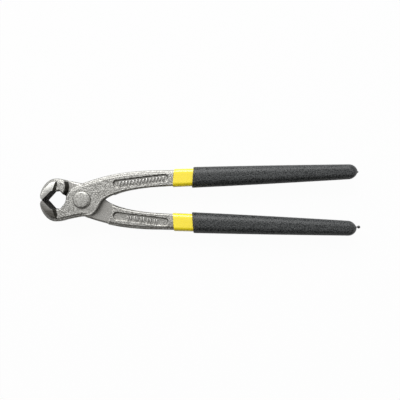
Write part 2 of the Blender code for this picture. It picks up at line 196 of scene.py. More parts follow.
def pull(sections: list[Section]) -> None:
    """Pull the selected section along.

    Args:
        sections: its x, y, width and thickness at each stop, from where it is now.
    """
    for (x, y, wide, thick), (new_x, new_y, new_wide, new_thick) in zip(sections, sections[1:]):
        extrude((new_x - x, new_y - y, 0))
        resize((1, new_wide / wide, new_thick / thick), (new_x, new_y, 0))


def cut_away(piece: Object, point: Point, outwards: Point) -> None:
    """Cut off what lies beyond a plane and close the cut.

    Args:
        piece: the piece to cut.
        point: a point of the plane.
        outwards: the plane's normal, towards the side that goes.
    """
    edit(piece, "SELECT")
    bpy.ops.mesh.bisect(
        plane_co=point, plane_no=outwards, use_fill=True, clear_outer=True, threshold=MERGE
    )
    leave_edit()


def modify(piece: Object, *steps: Modifier) -> None:
    """Add modifiers to a piece and apply each in turn.

    Args:
        piece: the piece.
        *steps: each modifier's type and settings.
    """
    activate(piece)
    for kind, settings in steps:
        modifier = piece.modifiers.new(kind.lower(), kind)
        for name, value in settings.items():
            setattr(modifier, name, value)
        bpy.ops.object.modifier_apply(modifier=modifier.name)


def even_faces(size: float) -> Modifier:
    """The modifier that remakes a skin in even faces of a size."""
    return "REMESH", {"mode": "VOXEL", "voxel_size": size, "use_smooth_shade": True}


def relaxed(times: int) -> Modifier:
    """The modifier that smooths a skin a number of times."""
    return "SMOOTH", {"factor": 0.5, "iterations": times}


def lumpy(name: str, spacing: float, height: float, level: float) -> Modifier:
    """The modifier that gives a skin soft lumps.

    Args:
        name: the lumps' name.
        spacing: how far they lie apart.
        height: how high they are.
        level: the share of a lump's height that lies below the old skin.

    Returns:
        The modifier.
    """
    clouds = bpy.data.textures.new(name, "CLOUDS")
    clouds.noise_scale = spacing
    settings = {"texture_coords": "LOCAL", "strength": height, "mid_level": level}
    return "DISPLACE", {"texture": clouds, **settings}


def loft(name: str, rings: list[list[Vector]]) -> Object:
    """A skin through rings of equal length.

    Args:
        name: the piece's name.
        rings: the rings, each anticlockwise from above, from the lowest to the highest.

    Returns:
        The skin, open at its first ring and closed at its last.
    """
    body = bmesh.new()
    loops = [[body.verts.new(point) for point in ring] for ring in rings]
    for lower, upper in zip(loops, loops[1:]):
        for i in range(len(lower)):
            j = (i + 1) % len(lower)
            body.faces.new((lower[i], lower[j], upper[j], upper[i]))
    body.faces.new(loops[-1])
    mesh = bpy.data.meshes.new(name)
    body.to_mesh(mesh)
    body.free()
    return link_new(name, mesh)


def merged_copy(node: str, name: str) -> Object:
    """A copy of a node's mesh with its loose triangles merged.

    Args:
        node: the model's node.
        name: the copy's name.

    Returns:
        The copy, at the origin.
    """
    piece = link_new(name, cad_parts[node].data.copy())
    piece.data.materials.clear()
    edit(piece, "SELECT", "VERT")
    bpy.ops.mesh.remove_doubles(threshold=MERGE)
    leave_edit()
    return piece


def own_copy(piece: Object, name: str) -> Object:
    """A copy of a piece, with a mesh of its own and a new name."""
    return link_new(name, piece.data.copy())


def join(pieces: list[Object]) -> Object:
    """Join pieces into the first one.

    Args:
        pieces: the pieces, the first one to be kept.

    Returns:
        The first piece with the others' meshes in it.
    """
    activate(pieces[0])
    for piece in pieces[1:]:
        piece.select_set(True)
    bpy.ops.object.join()
    return pieces[0]


def surface(piece: Object) -> tuple[list[Vector], list[Vector]]:
    """Read a mesh's points and the skin's direction at each."""
    points = piece.data.vertices
    return [point.co.copy() for point in points], [point.normal.copy() for point in points]


def move_points(piece: Object, places: list[Vector]) -> None:
    """Write a mesh's points back."""
    piece.data.vertices.foreach_set("co", [value for place in places for value in place])
    piece.data.update()


def shade(piece: Object, degrees: float) -> None:
    """Shade a piece smooth, but for edges that turn by more than an angle."""
    activate(piece)
    bpy.ops.object.shade_smooth_by_angle(angle=math.radians(degrees))


def smoothstep(value: float, start: float, end: float) -> float:
    """From 0 at the start to 1 at the end, without a corner."""
    share = min(max((value - start) / (end - start), 0.0), 1.0)
    return share * share * (3 - 2 * share)


def roll(radius: float, distance: float) -> float:
    """How far a rounded edge has dropped at a distance in from its wall."""
    across = max(radius - max(distance, 0.0), 0.0)
    return radius - math.sqrt(radius * radius - across * across)


# Finishes


class Tree:
    """A node tree that is wired up by short calls."""

    def __init__(self, nodes: bpy.types.NodeTree) -> None:
        """Keep the tree to wire."""
        self.tree = nodes

    def add(self, kind: str, **settings: object) -> bpy.types.Node:
        """Add a node of a type and set its properties.

        Args:
            kind: the node's type.
            **settings: its properties.

        Returns:
            The node.
        """
        node = self.tree.nodes.new(kind)
        for name, value in settings.items():
            setattr(node, name, value)
        return node

    def put(self, socket: Socket, value: object) -> None:
        """Give an input its value.

        Args:
            socket: the input.
            value: a number or a colour to set, or an output socket to link.
        """
        if isinstance(value, bpy.types.NodeSocket):
            self.tree.links.new(value, socket)
        elif socket.type == "RGBA":
            socket.default_value = (*value, 1.0)
        else:
            socket.default_value = value

    def feed(self, node: bpy.types.Node, **values: object) -> bpy.types.Node:
        """Give a node's inputs their values, by their names.

        Args:
            node: the node.
            **values: the inputs' names, with _ for a space, and their values.

        Returns:
            The node.
        """
        for name, value in values.items():
            self.put(node.inputs[name.replace("_", " ")], value)
        return node

    def fill(self, node: bpy.types.Node, places: list[int], values: tuple[object, ...]) -> None:
        """Give a node's inputs their values, by their places."""
        for place, value in zip(places, values):
            self.put(node.inputs[place], value)

    def math(self, operation: str, first: object, second: object) -> Socket:
        """The result of a sum on two numbers or sockets.

        Args:
            operation: the sum.
            first: a number or an output socket.
            second: a number or an output socket.

        Returns:
            The output socket.
        """
        node = self.add("ShaderNodeMath", operation=operation)
        self.fill(node, [0, 1], (first, second))
        return node.outputs[0]

    def spread(
        self, value: Socket, start: float, end: float, low: float = 0.0, high: float = 1.0
    ) -> Socket:
        """Map a range of values smoothly to another.

        Args:
            value: the value's socket.
            start: where the range starts.
            end: where it ends.
            low: the result at the start.
            high: the result at the end.

        Returns:
            The output socket.
        """
        node = self.add("ShaderNodeMapRange", interpolation_type="SMOOTHSTEP")
        self.feed(node, Value=value, From_Min=start, From_Max=end, To_Min=low, To_Max=high)
        return node.outputs["Result"]

    def mix(self, share: object, first: object, second: object) -> Socket:
        """Mix two colours.

        Args:
            share: the second colour's share.
            first: a colour or an output socket.
            second: a colour or an output socket.

        Returns:
            The output socket.
        """
        node = self.add("ShaderNodeMix", data_type="RGBA")
        self.fill(node, [0, 6, 7], (share, first, second))
        return node.outputs[2]

    def noise(self, vector: Socket, scale: object, detail: float, rough: float) -> Socket:
        """A noise value.

        Args:
            vector: the coordinates.
            scale: features for each metre.
            detail: how many finer layers it has.
            rough: how strong they are.

        Returns:
            The output socket, from 0 to 1.
        """
        node = self.add("ShaderNodeTexNoise")
        self.feed(node, Vector=vector, Scale=scale, Detail=detail, Roughness=rough)
        return node.outputs["Fac"]

    def seen(self, rays: bpy.types.Node) -> Socket:
        """1 for what the camera looks at and 0 for the light's own bounces."""
        camera, through = rays.outputs["Is Camera Ray"], rays.outputs["Is Transmission Ray"]
        return self.math("MAXIMUM", camera, through)


class Effects:
    """The effects that several finishes share, each built once as a node group."""

    def __init__(self) -> None:
        """Build the shared groups."""
        self.grain = self.build_grain()
        self.wear_and_shade = self.build_wear_and_shade()

    @staticmethod
    def new_group(
        name: str, inputs: dict[str, str], outputs: list[str]
    ) -> tuple[Tree, bpy.types.NodeOutputs, bpy.types.Node]:
        """Start a group with named sockets.

        Args:
            name: the group's name.
            inputs: each input's name and socket type.
            outputs: the names of the values that it gives.

        Returns:
            The group's tree, the sockets that it is given and the node that it ends in.
        """
        group = bpy.data.node_groups.new(name, "ShaderNodeTree")
        for socket, kind in inputs.items():
            group.interface.new_socket(name=socket, in_out="INPUT", socket_type=kind)
        for socket in outputs:
            group.interface.new_socket(name=socket, in_out="OUTPUT", socket_type=FLOAT)
        tree = Tree(group)
        return tree, tree.add("NodeGroupInput").outputs, tree.add("NodeGroupOutput")

    def build_grain(self) -> bpy.types.NodeTree:
        """Build the blasted and moulded grain.

        Returns:
            The group: Tone is a broad cloudiness, Speck the fine spots and Height both.
        """
        inputs = {"Vector": VECTOR, "Fine Scale": FLOAT, "Broad Scale": FLOAT}
        tree, given, result = self.new_group("surface_grain", inputs, ["Tone", "Speck", "Height"])
        broad = tree.noise(given["Vector"], given["Broad Scale"], detail=3.0, rough=0.6)
        fine = tree.noise(given["Vector"], given["Fine Scale"], detail=2.0, rough=0.7)
        speck = tree.spread(fine, start=0.36, end=0.66)
        spots, clouds = tree.math("MULTIPLY", speck, 0.75), tree.math("MULTIPLY", broad, 0.6)
        tone = tree.spread(broad, start=0.3, end=0.7)
        tree.feed(result, Tone=tone, Speck=speck, Height=tree.math("ADD", spots, clouds))
        return tree.tree

    def build_wear_and_shade(self) -> bpy.types.NodeTree:
        """Build the rubbed edges and the painted shade in hollows.

        Returns:
            The group: Edge is 1 on raised edges and Hollow, where painted shade goes, is 1 in
                corners.
        """
        inputs = {"Vector": VECTOR, "Scale": FLOAT}
        tree, given, result = self.new_group("edge_wear_and_hollow_shade", inputs, ["Edge", "Hollow"])
        bend = tree.add("ShaderNodeNewGeometry").outputs["Pointiness"]
        noise = tree.noise(given["Vector"], given["Scale"], detail=2.0, rough=0.6)
        patchy = tree.spread(noise, start=0.25, end=0.6, low=0.35, high=1.0)
        edge = tree.math("MULTIPLY", tree.spread(bend, start=0.505, end=0.56), patchy)
        tree.feed(result, Edge=edge, Hollow=tree.spread(bend, start=0.495, end=0.44))
        return tree.tree


@dataclass(frozen=True)
class Finish:
    """A procedural finish.

    Scales are in features for each metre, the bump is a height in metres, the roughness runs
    from its lowest to its highest, and the rest are colours and shares from 0 to 1.
    """

    name: str
    color: Color
    deep: Color
    bright: Color
    roughness: Pair
    fine_scale: float
    broad_scale: float
    grain: float
    bump: float
    tone: float = 0.5
    metallic: float = 1.0
    wear_and_shade: float = 0.0
    edge_rub: float = 0.4
    # How strong the painted shade in hollows is, and how dark it goes as a share of the deep
    # colour.
    hollow_shade_strength: float = 1.6
    hollow_shade_tone: float = 0.34
    streak: Point = (1.0, 1.0, 1.0)
    coat: float = 0.0
    coat_roughness: float = 0.15
    coat_ior: float = 1.68

    def material(self, effects: Effects) -> bpy.types.Material:
        """Build the material.

        Args:
            effects: the shared groups.

        Returns:
            The material.
        """
        material = bpy.data.materials.new(self.name)
        material.use_nodes = True
        tree = Tree(material.node_tree)
        shader = material.node_tree.nodes["Principled BSDF"]
        place = tree.add("ShaderNodeTexCoord").outputs["Object"]
        mapping = tree.feed(tree.add("ShaderNodeMapping"), Vector=place, Scale=self.streak)
        grain = tree.feed(
            tree.add("ShaderNodeGroup", node_tree=effects.grain),
            Vector=mapping.outputs[0], Fine_Scale=self.fine_scale, Broad_Scale=self.broad_scale,
        ).outputs
        color = tree.mix(tree.math("MULTIPLY", grain["Tone"], self.tone), self.color, self.deep)
        color = tree.mix(tree.math("MULTIPLY", grain["Speck"], self.grain), color, self.bright)
        # Raised edges are rubbed bright, a real wear; hollows get painted shade towards a darker
        # deep colour.
        if self.wear_and_shade:
            group = tree.add("ShaderNodeGroup", node_tree=effects.wear_and_shade)
            wear_and_shade = tree.feed(group, Vector=place, Scale=self.broad_scale).outputs
            rubbed = tree.math("MULTIPLY", wear_and_shade["Edge"], self.edge_rub * self.wear_and_shade)
            color = tree.mix(rubbed, color, self.bright)
            hollow_shaded = tree.math("MULTIPLY", wear_and_shade["Hollow"], self.hollow_shade_strength * self.wear_and_shade)
            color = tree.mix(hollow_shaded, color, tuple(self.hollow_shade_tone * value for value in self.deep))
        rough = tree.spread(grain["Speck"], 0.0, 1.0, *self.roughness)
        bump = tree.add("ShaderNodeBump")
        tree.feed(bump, Strength=1.0, Distance=self.bump, Height=grain["Height"])
        tree.feed(shader, Base_Color=color, Roughness=rough, Normal=bump.outputs[0])
        tree.feed(shader, Metallic=self.metallic, Coat_Weight=self.coat)
        if self.coat:
            tree.feed(shader, Coat_Roughness=self.coat_roughness, Coat_IOR=self.coat_ior)
        return material


class Look(Enum):
    """The finishes, by what was done to the surface, and the painted shade and highlight laid on
    some faces.
    """

    FORGED = Finish(
        name="forged_steel",
        color=(0.315, 0.31, 0.29), deep=(0.27, 0.262, 0.24), bright=(0.66, 0.655, 0.625),
        roughness=(0.31, 0.45), fine_scale=1250.0, broad_scale=330.0,
        grain=0.80, bump=0.000115, wear_and_shade=0.5,
    )
    GROUND = Finish(
        name="ground_steel",
        color=(0.44, 0.44, 0.418), deep=(0.39, 0.372, 0.345), bright=(0.51, 0.51, 0.49),
        roughness=(0.26, 0.34), fine_scale=700.0, broad_scale=200.0,
        grain=0.35, bump=0.00002, streak=(0.35, 2.0, 1.0),
    )
    # Milled lap faces; also a painted highlight on the panels' walls that face the light.
    MILLED_AND_HIGHLIGHT = Finish(
        name="milled_steel_and_painted_highlight",
        color=(0.50, 0.49, 0.465), deep=(0.45, 0.435, 0.41), bright=(0.60, 0.59, 0.565),
        roughness=(0.25, 0.35), fine_scale=1500.0, broad_scale=220.0,
        grain=0.45, bump=0.00005, streak=(0.6, 1.2, 1.0),
    )
    # Painted shade: a near-black finish laid on the bite's bevels, on the walls facing the handle
    # and on the seat's root wall.
    SCALE = Finish(
        name="deep_painted_shade", metallic=0.7,
        color=(0.034, 0.032, 0.026), deep=(0.020, 0.018, 0.014), bright=(0.080, 0.076, 0.064),
        roughness=(0.47, 0.63), fine_scale=900.0, broad_scale=260.0,
        grain=0.4, tone=0.6, bump=0.00010, wear_and_shade=0.1,
    )
    HARDENED = Finish(
        name="hardened_steel", metallic=0.6,
        color=(0.30, 0.296, 0.28), deep=(0.25, 0.245, 0.23), bright=(0.44, 0.436, 0.415),
        roughness=(0.52, 0.64), fine_scale=1150.0, broad_scale=330.0,
        grain=0.6, bump=0.00010, wear_and_shade=0.3,
    )
    # Painted shade: a dim finish for the wall over the other half's seat, the panels' walls that
    # face away from the light and the marks' sides.
    SOFT_SHADE = Finish(
        name="soft_painted_shade",
        color=(0.14, 0.137, 0.125), deep=(0.09, 0.088, 0.080), bright=(0.27, 0.265, 0.25),
        roughness=(0.39, 0.51), fine_scale=1500.0, broad_scale=330.0,
        grain=0.4, bump=0.00008,
    )
    RUBBED = Finish(
        name="rubbed_steel",
        color=(0.75, 0.74, 0.71), deep=(0.56, 0.55, 0.525), bright=(0.84, 0.83, 0.80),
        roughness=(0.35, 0.45), fine_scale=1500.0, broad_scale=330.0,
        grain=0.4, tone=0.4, bump=0.00006,
    )
    RIVET = Finish(
        name="rivet_steel",
        color=(0.37, 0.366, 0.34), deep=(0.32, 0.315, 0.29), bright=(0.66, 0.655, 0.63),
        roughness=(0.37, 0.49), fine_scale=1250.0, broad_scale=420.0,
        grain=0.75, bump=0.00011, wear_and_shade=0.2,
    )
    YELLOW = Finish(
        name="yellow_undercoat", metallic=0.0, coat=1.0,
        color=(0.98, 0.79, 0.016), deep=(0.97, 0.74, 0.010), bright=(0.98, 0.84, 0.05),
        roughness=(0.21, 0.31), fine_scale=600.0, broad_scale=160.0,
        grain=0.2, tone=0.4, bump=0.00003,
    )
    BLACK = Finish(
        name="black_grip", metallic=0.0,
        color=(0.009, 0.011, 0.012), deep=(0.006, 0.0075, 0.0085), bright=(0.130, 0.135, 0.136),
        roughness=(0.24, 0.44), fine_scale=1150.0, broad_scale=300.0,
        grain=0.50, tone=0.4, bump=0.00013,
    )


MATERIALS: dict[Look, bpy.types.Material] = {}
LEVER_LOOKS = (Look.FORGED, Look.GROUND, Look.MILLED_AND_HIGHLIGHT, Look.SCALE, Look.SOFT_SHADE, Look.HARDENED)


def paint(piece: Object, *looks: Look) -> None:
    """Give a piece its finishes, the first one on every face.

    Args:
        piece: the piece.
        *looks: the finishes in the order of their slots.
    """
    piece.data.materials.clear()
    for look in looks:
        piece.data.materials.append(MATERIALS[look])


def paint_faces(piece: Object, look: Look, test: Callable[[Face], bool]) -> None:
    """Put one of a piece's finishes on the faces that pass a test.

    Args:
        piece: the piece.
        look: the finish.
        test: takes a face and says whether it gets the finish.
    """
    slot = piece.data.materials.find(MATERIALS[look].name)
    for face in piece.data.polygons:
        if test(face):
            face.material_index = slot


def hand_in(piece: Object, half: Half, slot: str, *nodes: str) -> None:
    """Fix a finished piece to its body and hide the model's nodes that it stands for.

    Args:
        piece: the finished piece.
        half: the half of the tool that it moves with.
        slot: not used.
        *nodes: the model's nodes that it replaces.
    """
    if nodes:
        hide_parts(*nodes)
    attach(piece, half.body)
    LOG.info("%s: %d faces on %s", piece.name, len(piece.data.polygons), half.body)


# The levers


@dataclass
class Jaw:
    """The ground jaw block on a lever's end, with its cutting edge and bevels."""

    reach: float = 0.0269
    edge_gap: float = 0.00001
    nose_length: float = 0.0011
    nose_drop: float = 0.0010
    nose_lead: float = 0.0018
    nose_swell: float = 0.00012
    nose_back_drop: float = 0.0030
    bite_angle: float = math.radians(46.5)
    throat_depth: float = 0.0061
    half_height: float = 0.0151
    block_end: float = 0.0190
    root_end: float = 0.0135
    root_rise: float = 0.0030
    root_inset: float = 0.0012
    half_width: float = 0.0080
    wall_foot: float = 0.0180
    wall_foot_height: float = 0.0048
    wall_lean: float = math.radians(44)
    side_fall: float = math.radians(4.5)
    side_crown: float = 10.5
    side_strips: int = 10
    back_steps: int = 14
    rim_width: float = 0.0026
    rim_least: float = 0.0002
    rim_slope: float = 0.75
    rim_curve: float = 0.45
    rim_steps: int = 5
    rim_stop: float = 0.0005
    rim_start: float = 0.0010
    rim_full: float = 0.0050
    dark_limit: float = 0.0125
    dark_back: float = 0.3
    dark_across: float = 0.6
    broken_angle: float = math.radians(38)
    broken_width: float = 0.00012
    kept_edge: float = 0.0003

    def outline(self) -> list[Vector]:
        """The block's outline, anticlockwise from the cutting edge.

        Returns:
            The points.
        """
        edge = Vector((-self.reach, -self.edge_gap / 2))
        bevel = edge - Vector((self.nose_length, self.nose_drop))
        wide = self.reach + self.nose_lead - self.block_end
        tall = self.half_height - self.nose_back_drop
        back = []
        for i in range(self.back_steps + 1):
            turn = 2 * QUARTER_TURN + QUARTER_TURN * i / self.back_steps
            x, y = wide * math.cos(turn), tall * math.sin(turn)
            back.append(Vector((-self.block_end + x, -self.nose_back_drop + y)))
        soft = bevel.lerp(back[0], 0.5) - Vector((self.nose_swell, 0))
        length = (self.throat_depth - self.edge_gap / 2) / math.sin(self.bite_angle)
        bite_end = edge + length * Vector((math.cos(self.bite_angle), -math.sin(self.bite_angle)))
        root = [
            Vector((-self.root_end, -self.half_height + self.root_rise)),
            Vector((-self.root_end, -self.throat_depth - self.root_inset)),
            Vector((-self.block_end, -self.throat_depth - HAIR)),
        ]
        return [edge, bevel, soft] + back + root + [bite_end]

    def ground_height(self, y: float) -> float:
        """The height of the ground side at a place across the jaw; it falls more and more."""
        depth = max(-y, 0.0)
        return self.half_width - math.tan(self.side_fall) * depth - self.side_crown * depth * depth

    def rim_share(self, point: Vector) -> float:
        """How far the edge is rounded at a point of the outline, from 0 to 1.

        Args:
            point: the point.

        Returns:
            The share of the full rounding.
        """
        bite = Vector((math.sin(self.bite_angle), math.cos(self.bite_angle)))
        from_bite = -bite.dot(point - Vector((-self.reach, 0)))
        if point.x > -self.block_end + self.rim_stop or from_bite < self.rim_least:
            return 0.0
        share = (-point.y - self.rim_start) / (self.half_height - self.rim_full)
        return min(max(share, 0.0), 1.0)

    def rings(self) -> list[list[Vector]]:
        """The outline at each level from the mid-plane to the ground side.

        Returns:
            The rings.
        """
        outline = self.outline()
        rings = [[point.to_3d() for point in outline]]
        normals = []
        for i, here in enumerate(outline):
            arriving = (here - outline[i - 1]).normalized()
            leaving = (outline[(i + 1) % len(outline)] - here).normalized()
            across = Vector((-arriving.y - leaving.y, arriving.x + leaving.x))
            normals.append(across / (1 + arriving.dot(leaving)))
        for step in range(self.rim_steps + 1):
            share = step / self.rim_steps
            left = self.rim_slope * (1 - share) + self.rim_curve * (1 - share) ** 2
            ring = []
            for point, normal in zip(outline, normals):
                radius = self.rim_least + (self.rim_width - self.rim_least) * self.rim_share(point)
                top = self.ground_height((point + normal * radius).y)
                ring.append(Vector((*(point + normal * radius * share), top - radius * left)))
            rings.append(ring)
        return rings

    def is_outside(self, face: Face) -> bool:
        """Whether a face belongs to the block's hardened outer wall."""
        return face.center.x < -self.block_end + 2 * HAIR

    def is_ground(self, face: Face) -> bool:
        """Whether a face belongs to the ground sides."""
        least = self.ground_height(face.center.y) - HAIR
        return abs(face.normal.z) > FACING and abs(face.center.z) > least

    def is_bevel(self, face: Face) -> bool:
        """Whether a face belongs to the bevels inside the bite and the walls facing the handle,
        which get painted shade.
        """
        inwards = face.normal.x > self.dark_back or face.normal.y > self.dark_across
        return inwards and face.center.y > -self.dark_limit

    def is_broken(self, edge: bmesh.types.BMEdge) -> bool:
        """Whether an edge is sharp and gets broken a little, as all but the cutting edge do.

        Args:
            edge: the edge.

        Returns:
            Whether it is to be broken.
        """
        middle = (edge.verts[0].co + edge.verts[1].co) / 2
        sharp = edge.is_manifold and edge.calc_face_angle() > self.broken_angle
        return sharp and middle.y < -self.kept_edge

    def build(self) -> Object:
        """Model one half with a rounded rim, ground convex, mirror it and paint the block.

        Returns:
            The block.
        """
        jaw = loft("jaw_block", self.rings())
        edit(jaw, "SELECT")
        for i in range(1, self.side_strips):
            y = -self.half_height * i / self.side_strips
            select_all()
            bpy.ops.mesh.bisect(plane_co=(0, y, 0), plane_no=(0, 1, 0), threshold=MERGE)
        leave_edit()
        foot = (-self.wall_foot, 0, self.wall_foot_height)
        cut_away(jaw, foot, (math.cos(self.wall_lean), 0, math.sin(self.wall_lean)))
        modify(jaw, ("MIRROR", {"use_axis": (False, False, True), "merge_threshold": MERGE}))
        edit(jaw, "SELECT")
        close_edit()
        paint(jaw, *LEVER_LOOKS)
        paint_faces(jaw, Look.HARDENED, self.is_outside)
        paint_faces(jaw, Look.GROUND, self.is_ground)
        # Painted shade on the bevels inside the bite and on the walls facing the handle.
        paint_faces(jaw, Look.SCALE, self.is_bevel)
        edit(jaw, mode="EDGE")
        select_where(jaw, "edges", self.is_broken)
        bpy.ops.mesh.bevel(offset=self.broken_width, segments=2, affect="EDGES")
        leave_edit()
        shade(jaw, degrees=28)
        return jaw


@dataclass
class Arm:
    """The arm's taper and the panel sunk into it."""

    start: float = 0.0140
    end: float = 0.0615
    start_half: float = 0.0060
    end_half: float = 0.0043
    panel_x: float = 0.0411
    panel_y: float = 0.01335
    panel_length: float = 0.0386
    panel_height: float = 0.0054
    panel_corner: float = 0.0025
    panel_tilt: float = math.radians(7.2)
    panel_depth: float = 0.0015
    panel_wall: float = 0.00048
    panel_flat: float = 0.985

    def half_thickness(self, x: float) -> float:
        """Half the arm's thickness at a place along X."""
        share = (x - self.start) / (self.end - self.start)
        return self.start_half + (self.end_half - self.start_half) * share

    def into_panel(self, place: Vector) -> float:
        """How far a point of a face lies inside the panel's outline; below 0 it is outside.

        Args:
            place: the point.

        Returns:
            The distance to the outline.
        """
        middle = Vector((self.panel_x, self.panel_y))
        turned = Matrix.Rotation(-self.panel_tilt, 2) @ (place.to_2d() - middle)
        x = abs(turned.x) - self.panel_length / 2 + self.panel_corner
        y = abs(turned.y) - self.panel_height / 2 + self.panel_corner
        outside = Vector((max(x, 0.0), max(y, 0.0))).length
        return self.panel_corner - outside - min(max(x, y), 0.0)

    def panel_lean(self, face: Face) -> float:
        """How far a panel's wall leans to +Y when that side of the tool is up.

        Args:
            face: the face.

        Returns:
            The lean: above 0 on the lit wall, below 0 on the dark one and 0 elsewhere.
        """
        middle, normal = face.center, face.normal
        beside = -3 * HAIR < self.into_panel(middle) < 2 * self.panel_wall
        if not beside or abs(middle.z) < self.end_half / 2 or abs(normal.z) > self.panel_flat:
            return 0.0
        return normal.y if middle.z > 0 else -normal.y


@dataclass
class Forging:
    """The blasted forging behind the jaw block: neck, lap joint and arm.

    A span is where a change starts and ends, and a rise is how far a face looks up or down.
    """

    arm: Arm
    neck_cut: float = 0.01845
    neck_bury: float = 0.0012
    core_cut: float = 0.0660
    core_lap: float = 0.0005
    voxel: float = 0.00026
    wave_length: float = 0.0040
    wave_height: float = 0.00012
    face_from: float = 0.0022
    face_rise: float = 0.1
    wall_from: float = 0.0010
    wall_rise: float = 0.3
    forged_edge: float = 0.0020
    inner_edge: float = 0.0011
    flash_edge: float = 0.0014
    flash_step: float = 0.0007
    flash_end: float = 0.0022
    split_x: float = 0.0120
    split_y: float = 0.0080
    split_slope: float = 0.13
    arm_from: float = 0.0050
    neck_span: Pair = (-0.0125, -0.0100)
    belly_span: Pair = (-0.0010, 0.0040)
    belly_y: float = -0.0090
    seat_end: float = 0.0213
    seat_bow: float = 0.0500
    seat_level: float = -0.00015
    seat_blend: float = 0.0030
    seat_fill: float = 0.0030
    seat_edge: float = 0.0013
    seat_hole: float = 0.0078
    seat_draft: float = math.radians(20)
    seat_face: float = 0.6
    seat_under: float = -0.0003
    seat_span: Pair = (-0.0100, -0.0075)
    foot_span: Pair = (-0.0025, -0.0005)
    inner_y: float = 0.0033
    breadth: float = 0.0147
    inner_slope: float = 0.48
    outer_slope: float = 0.23
    root_x: float = -0.0200
    root_y: float = -0.0095
    root_radius: float = 0.0100
    root_reach: float = 0.0005
    root_span: Pair = (-0.0046, -0.0003)
    root_limit: float = 0.0128
    root_rise: float = 0.75
    # Where the painted shade on the wall over the other half's seat reaches.
    lap_shade_start: float = 0.0010
    lap_shade_end: float = 0.0200
    lap_shade_rise: float = 1.3
    lap_shade_y: float = 0.0015
    lap_shade_upright: float = 0.5
    milled_reach: float = 0.0004
    lean_least: float = 0.12

    def outer_share(self, place: Vector) -> float:
        """How far a point of the outline belongs to its outer edge, from 0 to 1.

        Args:
            place: the point.

        Returns:
            The outer edge's share.
        """
        if place.x > self.arm_from:
            return float(place.y > self.split_y + self.split_slope * (place.x - self.split_x))
        if place.y > 0:
            return smoothstep(place.x, *self.neck_span)
        return 1 - smoothstep(place.x, *self.belly_span) if place.y < self.belly_y else 0.0

    def from_foot(self, place: Vector) -> float:
        """How far beyond the foot of the seat's end wall a point lies, towards the handle."""
        return math.hypot(place.x - self.seat_end + self.seat_bow, place.y) - self.seat_bow

    def side_walls(self, places: list[Vector], normals: list[Vector], side: int) -> KDTree:
        """Gather one half's upright walls, without the wall at the seat's end.

        Args:
            places: the forging's points.
            normals: the skin's direction at each point.
            side: 1 for the upper half and -1 for the lower one.

        Returns:
            The walls' points, laid flat.
        """
        walls = []
        for place, normal in zip(places, normals):
            at_seat = side < 0 and normal.x < -self.seat_face and place.x > self.arm.start
            upright = side * place.z > self.wall_from and abs(normal.z) < self.wall_rise
            if upright and not at_seat:
                walls.append(place)
        tree = KDTree(len(walls))
        for i, wall in enumerate(walls):
            tree.insert((wall.x, wall.y, 0), i)
        tree.balance()
        return tree

    def straighten_seat(self, forging: Object) -> None:
        """Set the wall at the lap seat's handle end upright and fill the arm up to it.

        Args:
            forging: the forging, its mid-plane at z = 0.
        """
        places, normals = surface(forging)
        walls = self.side_walls(places, normals, -1)
        filled = 2 * self.seat_fill
        for place, normal in zip(places, normals):
            from_foot = self.from_foot(place)
            if place.z > -HAIR or place.x < self.arm.start or not 0.0 < from_foot < filled:
                continue
            if normal.z < -self.face_rise:
                _, _, distance = walls.find(Vector((place.x, place.y, 0)))
                full = roll(self.forged_edge, distance) - self.arm.half_thickness(place.x)
                left = 1 - smoothstep(from_foot, self.seat_fill, filled)
                place.z += (full - place.z) * left
            lean = math.tan(self.seat_draft) * -place.z
            across = min(max((place.y - self.inner_y) / self.breadth, 0.0), 1.0)
            slope = self.inner_slope + (self.outer_slope - self.inner_slope) * across
            if from_foot < lean + self.voxel:
                place.y -= min(lean, from_foot) * slope
                reach = math.sqrt(self.seat_bow * self.seat_bow - place.y * place.y)
                place.x = self.seat_end - self.seat_bow + reach
                continue
            share = 1 - smoothstep(from_foot - lean, self.voxel, self.seat_blend)
            place.x -= lean * share
            place.y -= lean * share * slope
        move_points(forging, places)

    def shape_faces(self, forging: Object) -> None:
        """Step the outer edges down to the trimmed flash line and deepen the panels.

        Args:
            forging: the forging, its mid-plane at z = 0.
        """
        places, normals = surface(forging)
        start, end = -self.arm.panel_wall / 4, 3 * self.arm.panel_wall / 4
        for side in (1, -1):
            walls = self.side_walls(places, normals, side)
            for place, normal in zip(places, normals):
                if side * place.z < self.face_from or side * normal.z < self.face_rise:
                    continue
                here = Vector((place.x, place.y, 0))
                inside = self.arm.into_panel(here)
                if inside > start:
                    sunk = self.arm.panel_depth * smoothstep(inside, start, end)
                    place.z = side * (self.arm.half_thickness(here.x) - sunk)
                    continue
                nearest, _, distance = walls.find(here)
                outer = self.outer_share(nearest)
                step = 1 - smoothstep(distance, self.flash_edge, self.flash_end)
                flash = self.flash_step * step + roll(self.flash_edge, distance)
                drop = outer * flash + (1 - outer) * roll(self.inner_edge, distance)
                place.z -= side * (drop - roll(self.forged_edge, distance))
            if side > 0:
                self.break_seat(places, walls)
        move_points(forging, places)

    def break_seat(self, places: list[Vector], walls: KDTree) -> None:
        """Round the lap seat's edge along the outline.

        Args:
            places: the forging's points, which are moved.
            walls: the outline of the half that carries the seat.
        """
        reach = 2 * self.seat_edge
        for place in places:
            height = place.z - self.seat_level
            if not self.seat_under < height < reach or place.length < self.seat_hole:
                continue
            nearest, _, distance = walls.find(Vector((place.x, place.y, 0)))
            share = self.outer_share(nearest) * smoothstep(place.x, *self.seat_span)
            share *= 1 - smoothstep(self.from_foot(place), *self.foot_span)
            place.z += share * roll(self.seat_edge, distance) * (1 - max(height, 0.0) / reach)

    def is_neck_cut(self, face: bmesh.types.BMFace) -> bool:
        """Whether a face belongs to the cut through the neck."""
        middle = face.calc_center_median()
        return middle.x < -self.neck_cut + HAIR and face.normal.x < -FACING

